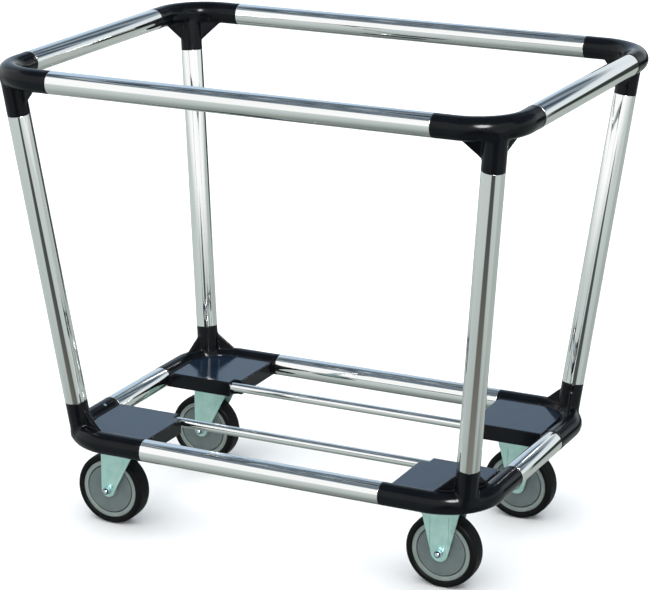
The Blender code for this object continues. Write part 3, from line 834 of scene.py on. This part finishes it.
def make_casters():
    for row, sign in (("front", -1), ("back", 1)):
        left, right = f"{row}_left", f"{row}_right"
        centre = Vector((-CASTER_X, sign * CASTER_Y, 0))
        make_swivel_head(left, centre)
        piece(f"fork_{left}", swivel_fork(), [ZINC], f"swivel_{row}", [f"swivel_fork_{left}"],
              Matrix.Translation(centre))
        make_axle(left, f"swivel_{row}")
        make_plate_bolts(left, centre)
        centre = Vector((CASTER_X, sign * CASTER_Y, 0))
        piece(f"fork_{right}", fixed_fork(), [ZINC], "frame", [f"fixed_fork_{right}"],
              Matrix.Translation(centre))
        make_axle(right, "frame")
        make_plate_bolts(right, centre)
        for corner in (left, right):
            make_wheel(corner, f"wheel_{corner}")


make_casters()


# ---- floor, light and camera ------------------------------------------------------------

CAMERA_PLACE = Vector((1.7940, -3.6568, 1.6735))
CAMERA_AZIMUTH = math.radians(26.185)
CAMERA_ELEVATION = math.radians(17.2275)


def make_floor():
    """A pale floor that is left out of reflections."""
    size = 40
    shape = bmesh.new()
    bmesh.ops.create_grid(shape, x_segments=1, y_segments=1, size=size / 2)
    mesh = bpy.data.meshes.new("floor")
    shape.to_mesh(mesh)
    shape.free()
    floor = bpy.data.objects.new("floor", mesh)
    bpy.context.scene.collection.objects.link(floor)
    material, _, shader = graph("floor")
    shader.inputs["Base Color"].default_value = (0.93, 0.93, 0.93, 1)
    shader.inputs["Roughness"].default_value = 0.9
    shader.inputs["Specular IOR Level"].default_value = 0.1
    mesh.materials.append(material)
    floor.visible_glossy = False


def math_node(tree, operation, *values):
    node = tree.nodes.new("ShaderNodeMath")
    node.operation = operation
    for socket, value in zip(node.inputs, values):
        if isinstance(value, (int, float)):
            socket.default_value = value
        else:
            tree.links.new(value, socket)
    return node.outputs[0]


def window(tree, value, low, high, soft):
    """One between low and high, falling smoothly to zero over soft on both sides."""
    edges = []
    for start, end in ((low - soft, low), (high + soft, high)):
        node = tree.nodes.new("ShaderNodeMapRange")
        node.interpolation_type = "SMOOTHSTEP"
        node.inputs["From Min"].default_value = start
        node.inputs["From Max"].default_value = end
        tree.links.new(value, node.inputs["Value"])
        edges.append(node.outputs["Result"])
    return math_node(tree, "MULTIPLY", *edges)


def ramp(tree, value, stops):
    """Colour against an angle in degrees, from -90 to 90, with smooth steps between stops."""
    scaled = math_node(tree, "DIVIDE", math_node(tree, "ADD", value, 90), 180)
    node = tree.nodes.new("ShaderNodeValToRGB")
    node.color_ramp.interpolation = "LINEAR"
    elements = node.color_ramp.elements
    while len(elements) < len(stops):
        elements.new(0.5)
    for element, (angle, colour) in zip(elements, stops):
        element.position = (angle + 90) / 180
        element.color = (*colour, 1)
    tree.links.new(scaled, node.inputs["Fac"])
    return node.outputs["Color"]


def overlay(tree, factor, first, second):
    """The first colour, giving way to the second where the factor is one."""
    mix = tree.nodes.new("ShaderNodeMix")
    mix.data_type = "RGBA"
    tree.links.new(factor, mix.inputs["Factor"])
    tree.links.new(first, mix.inputs["A"])
    if isinstance(second, tuple):
        mix.inputs["B"].default_value = (*second, 1)
    else:
        tree.links.new(second, mix.inputs["B"])
    return mix.outputs["Result"]


def streaks(tree, angle, scale):
    """Soft lighter bands at uneven steps of an angle."""
    noise = tree.nodes.new("ShaderNodeTexNoise")
    noise.noise_dimensions = "1D"
    noise.inputs["Scale"].default_value = scale
    tree.links.new(angle, noise.inputs["W"])
    remap = tree.nodes.new("ShaderNodeMapRange")
    remap.interpolation_type = "SMOOTHSTEP"
    remap.inputs["From Min"].default_value = 0.46
    remap.inputs["From Max"].default_value = 0.62
    tree.links.new(noise.outputs["Fac"], remap.inputs["Value"])
    return remap.outputs["Result"]


WHITE, SLATE, DEEP_SLATE = (1.0, 1.0, 1.0), (0.060, 0.085, 0.115), (0.035, 0.050, 0.070)
NEAR_SIDE = ((-90, (0.10, 0.12, 0.11)), (-62, (0.24, 0.27, 0.25)), (-35, (0.45, 0.50, 0.49)),
             (-6, (0.57, 0.62, 0.61)), (3, WHITE), (43, WHITE), (48, SLATE), (90, DEEP_SLATE))
FAR_SIDE = ((-90, (0.10, 0.12, 0.11)), (-52, (0.12, 0.14, 0.13)), (-30, (0.40, 0.44, 0.42)),
            (-17, (0.40, 0.44, 0.42)), (0, (0.46, 0.50, 0.48)),
            (3, (0.80, 0.84, 0.86)), (17, (0.72, 0.78, 0.82)), (23, SLATE), (90, DEEP_SLATE))
GAP_SIDE = ((-90, (0.20, 0.19, 0.17)), (-50, (0.20, 0.19, 0.17)), (-36, (0.100, 0.092, 0.076)),
            (-25, (0.032, 0.034, 0.032)), (-15, (0.018, 0.025, 0.030)), (90, (0.018, 0.025, 0.030)))
PANEL = (0.48, 0.62, 0.78)
STREAK = (0.34, 0.40, 0.45)


def make_studio():
    """A studio as a world: bright walls, a slate ceiling, a grey ground and a dark gap in front."""
    world = bpy.data.worlds.new("studio")
    bpy.context.scene.world = world
    world.use_nodes = True
    tree = world.node_tree
    coordinates = tree.nodes.new("ShaderNodeTexCoord")
    split = tree.nodes.new("ShaderNodeSeparateXYZ")
    tree.links.new(coordinates.outputs["Generated"], split.inputs["Vector"])
    x, y, z = split.outputs
    elevation = math_node(tree, "MULTIPLY", math_node(tree, "ARCSINE", z), 180 / math.pi)
    near = math_node(tree, "MULTIPLY", math_node(tree, "ARCTAN2", x, math_node(tree, "MULTIPLY", y, -1)),
                     180 / math.pi)
    far = math_node(tree, "MULTIPLY", math_node(tree, "ARCTAN2", x, y), 180 / math.pi)
    colour = overlay(tree, window(tree, far, -60, 75, 12), ramp(tree, elevation, NEAR_SIDE),
                     ramp(tree, elevation, FAR_SIDE))
    horizon = math_node(tree, "MULTIPLY", window(tree, far, -26, 33, 3), window(tree, elevation, -11, 0, 2.5))
    colour = overlay(tree, horizon, colour, (0.035, 0.045, 0.040))
    panel = math_node(tree, "MULTIPLY", window(tree, far, -60, -20, 5), window(tree, elevation, 10, 46, 3))
    colour = overlay(tree, panel, colour, PANEL)
    ceiling = math_node(tree, "MULTIPLY", streaks(tree, elevation, 0.30), window(tree, elevation, 50, 91, 3))
    wall = math_node(tree, "MULTIPLY", streaks(tree, far, 0.16), window(tree, elevation, 22, 48, 3))
    wall = math_node(tree, "MULTIPLY", wall, window(tree, far, -18, 75, 8))
    colour = overlay(tree, math_node(tree, "MAXIMUM", ceiling, wall), colour, STREAK)
    # the dark gap widens downwards
    reach = math_node(tree, "SUBTRACT", 4, math_node(tree, "MULTIPLY", elevation, 0.75))
    offset = math_node(tree, "DIVIDE", math_node(tree, "SUBTRACT", near, math.degrees(CAMERA_AZIMUTH)), reach)
    gap = math_node(tree, "MULTIPLY", window(tree, offset, -0.7, 0.7, 0.5),
                    window(tree, elevation, -62, -2, 6))
    colour = overlay(tree, math_node(tree, "MULTIPLY", gap, 0.92), colour, ramp(tree, elevation, GAP_SIDE))
    background = tree.nodes["Background"]
    tree.links.new(colour, background.inputs["Color"])
    background.inputs["Strength"].default_value = 1.15


def make_sun():
    """Soft light from above that reaches the whole floor alike."""
    data = bpy.data.lights.new("overhead", "SUN")
    data.energy = 3.2
    data.angle = math.radians(75)
    light = bpy.data.objects.new("overhead", data)
    bpy.context.scene.collection.objects.link(light)
    light.matrix_world = aim((0.3, -0.4, 4), (0.12, -0.20, 1))
    light.visible_glossy = False


def make_gleam(name, place, size, power):
    """A small bright panel that only shows in glossy surfaces."""
    data = bpy.data.lights.new(name, "AREA")
    data.shape = "DISK"
    data.size = size
    data.energy = power
    light = bpy.data.objects.new(name, data)
    bpy.context.scene.collection.objects.link(light)
    light.matrix_world = aim(place, Vector(place) - Vector((0, 0, 0.4)))
    light.visible_diffuse = False


def make_camera():
    data = bpy.data.cameras.new("camera")
    data.sensor_width = 36
    data.lens = 138.917
    camera = bpy.data.objects.new("camera", data)
    bpy.context.scene.collection.objects.link(camera)
    camera.location = CAMERA_PLACE
    camera.rotation_euler = (math.pi / 2 - CAMERA_ELEVATION, 0, CAMERA_AZIMUTH)
    bpy.context.scene.camera = camera


make_floor()
make_studio()
make_sun()
make_gleam("key", (2.6, -3.3, 3.4), 1.9, 400)
make_camera()
bpy.context.scene.view_settings.view_transform = "Standard"
